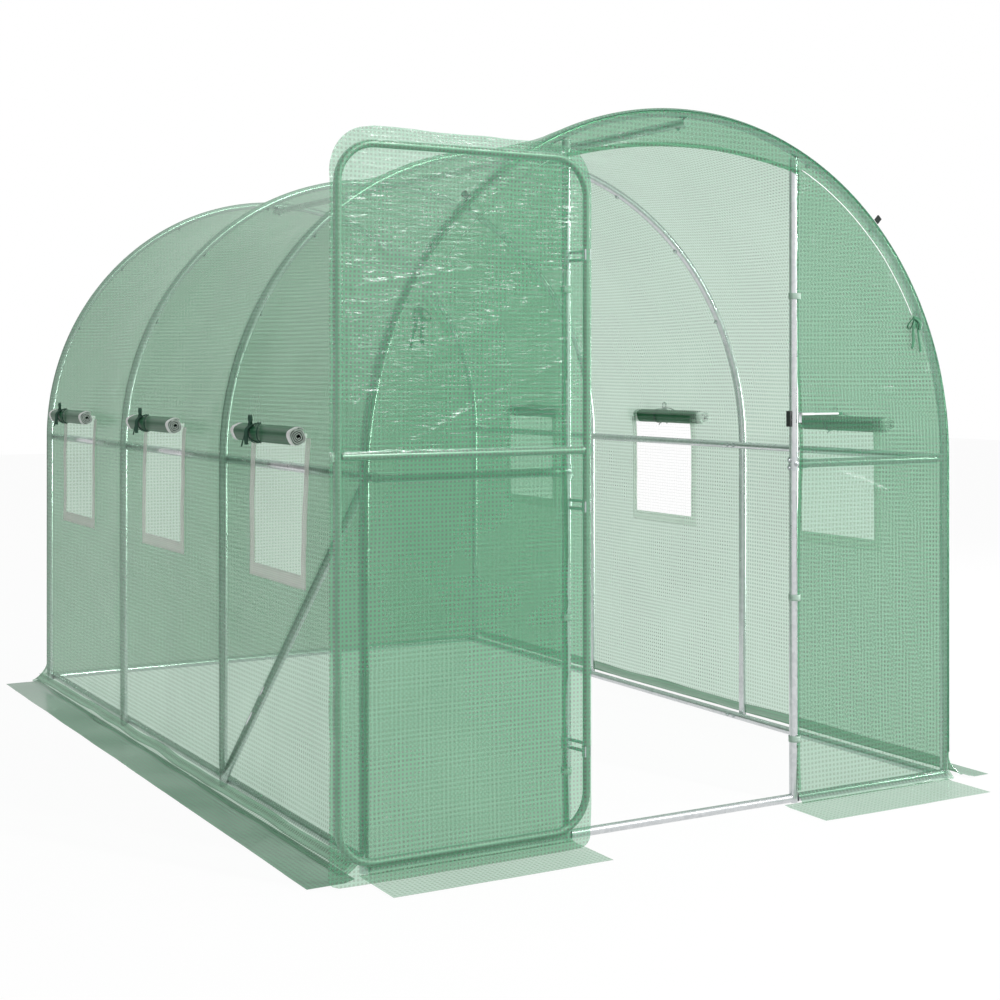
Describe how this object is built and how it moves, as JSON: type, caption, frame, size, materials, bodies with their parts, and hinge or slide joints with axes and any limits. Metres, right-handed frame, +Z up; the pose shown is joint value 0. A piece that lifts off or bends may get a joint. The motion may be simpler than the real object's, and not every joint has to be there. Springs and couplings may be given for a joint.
{
  "type": "polytunnel greenhouse",
  "caption": "Walk-in polytunnel greenhouse: tubular steel hoops and rails under a green mesh-reinforced cover with roll-up side windows, ground skirts and a hinged framed door.",
  "frame": {"origin": "middle of the footprint at ground level", "axes": "+X to the right seen from the door end, +Y from the door end to the back, +Z up"},
  "size_m": [2.4, 3.448, 1.988],
  "materials": {
    "galvanised_tube": "galvanised steel tube, satin",
    "zinc_fittings": "zinc plated clamps and bolts",
    "black_plastic": "moulded plastic, matt",
    "green_scrim_sheet": "translucent polyethylene sheet with a woven scrim",
    "green_skirt_sheet": "doubled polyethylene sheet with a woven scrim",
    "white_net": "fine open insect net",
    "grey_binding": "sewn tape",
    "dark_green_roll": "rolled polyethylene sheet",
    "green_webbing": "woven tape"
  },
  "bodies": {
    "tunnel": {"front_arch": "galvanised_tube", "second_arch": "galvanised_tube", "third_arch": "galvanised_tube", "back_arch": "galvanised_tube", "front_legs": "galvanised_tube", "second_legs": "galvanised_tube", "third_legs": "galvanised_tube", "back_legs": "galvanised_tube", "ridge_pole": "galvanised_tube", "left_purlin": "galvanised_tube", "right_purlin": "galvanised_tube", "left_base_rail": "galvanised_tube", "right_base_rail": "galvanised_tube", "front_base_rail": "galvanised_tube", "back_base_rail": "galvanised_tube", "left_brace": "galvanised_tube", "left_door_post": "galvanised_tube", "right_door_post": "galvanised_tube", "front_crossbars": "galvanised_tube", "crossbar_clamps": "zinc_fittings", "frame_bolts": "zinc_fittings", "roof_cover": "green_scrim_sheet", "left_wall_cover": "green_scrim_sheet", "right_wall_cover": "green_scrim_sheet", "back_cover": "green_scrim_sheet", "front_cover_left": "green_scrim_sheet", "front_cover_right": "green_scrim_sheet", "front_cover_top": "green_scrim_sheet", "left_skirt": "green_skirt_sheet", "right_skirt": "green_skirt_sheet", "front_skirts": "green_skirt_sheet", "back_skirt": "green_skirt_sheet", "window_meshes": "white_net", "window_borders": "grey_binding", "window_rolls": "dark_green_roll", "roll_ties": "green_webbing", "cover_tabs": "green_scrim_sheet", "hoop_tabs": "green_webbing", "post_hinges": "zinc_fittings", "latch": "black_plastic"},
    "door": {"door_frame": "galvanised_tube", "door_mid_bar": "galvanised_tube", "door_cover": "green_scrim_sheet", "door_hinge_leaves": "zinc_fittings"}
  },
  "joints": [
    {"name": "door_swing", "type": "hinge", "parent": "tunnel", "child": "door", "pos_m": [-0.377, -1.5725, 0.9], "axis": [0, 0, 1], "range_deg": [0, 180]}
  ]
}
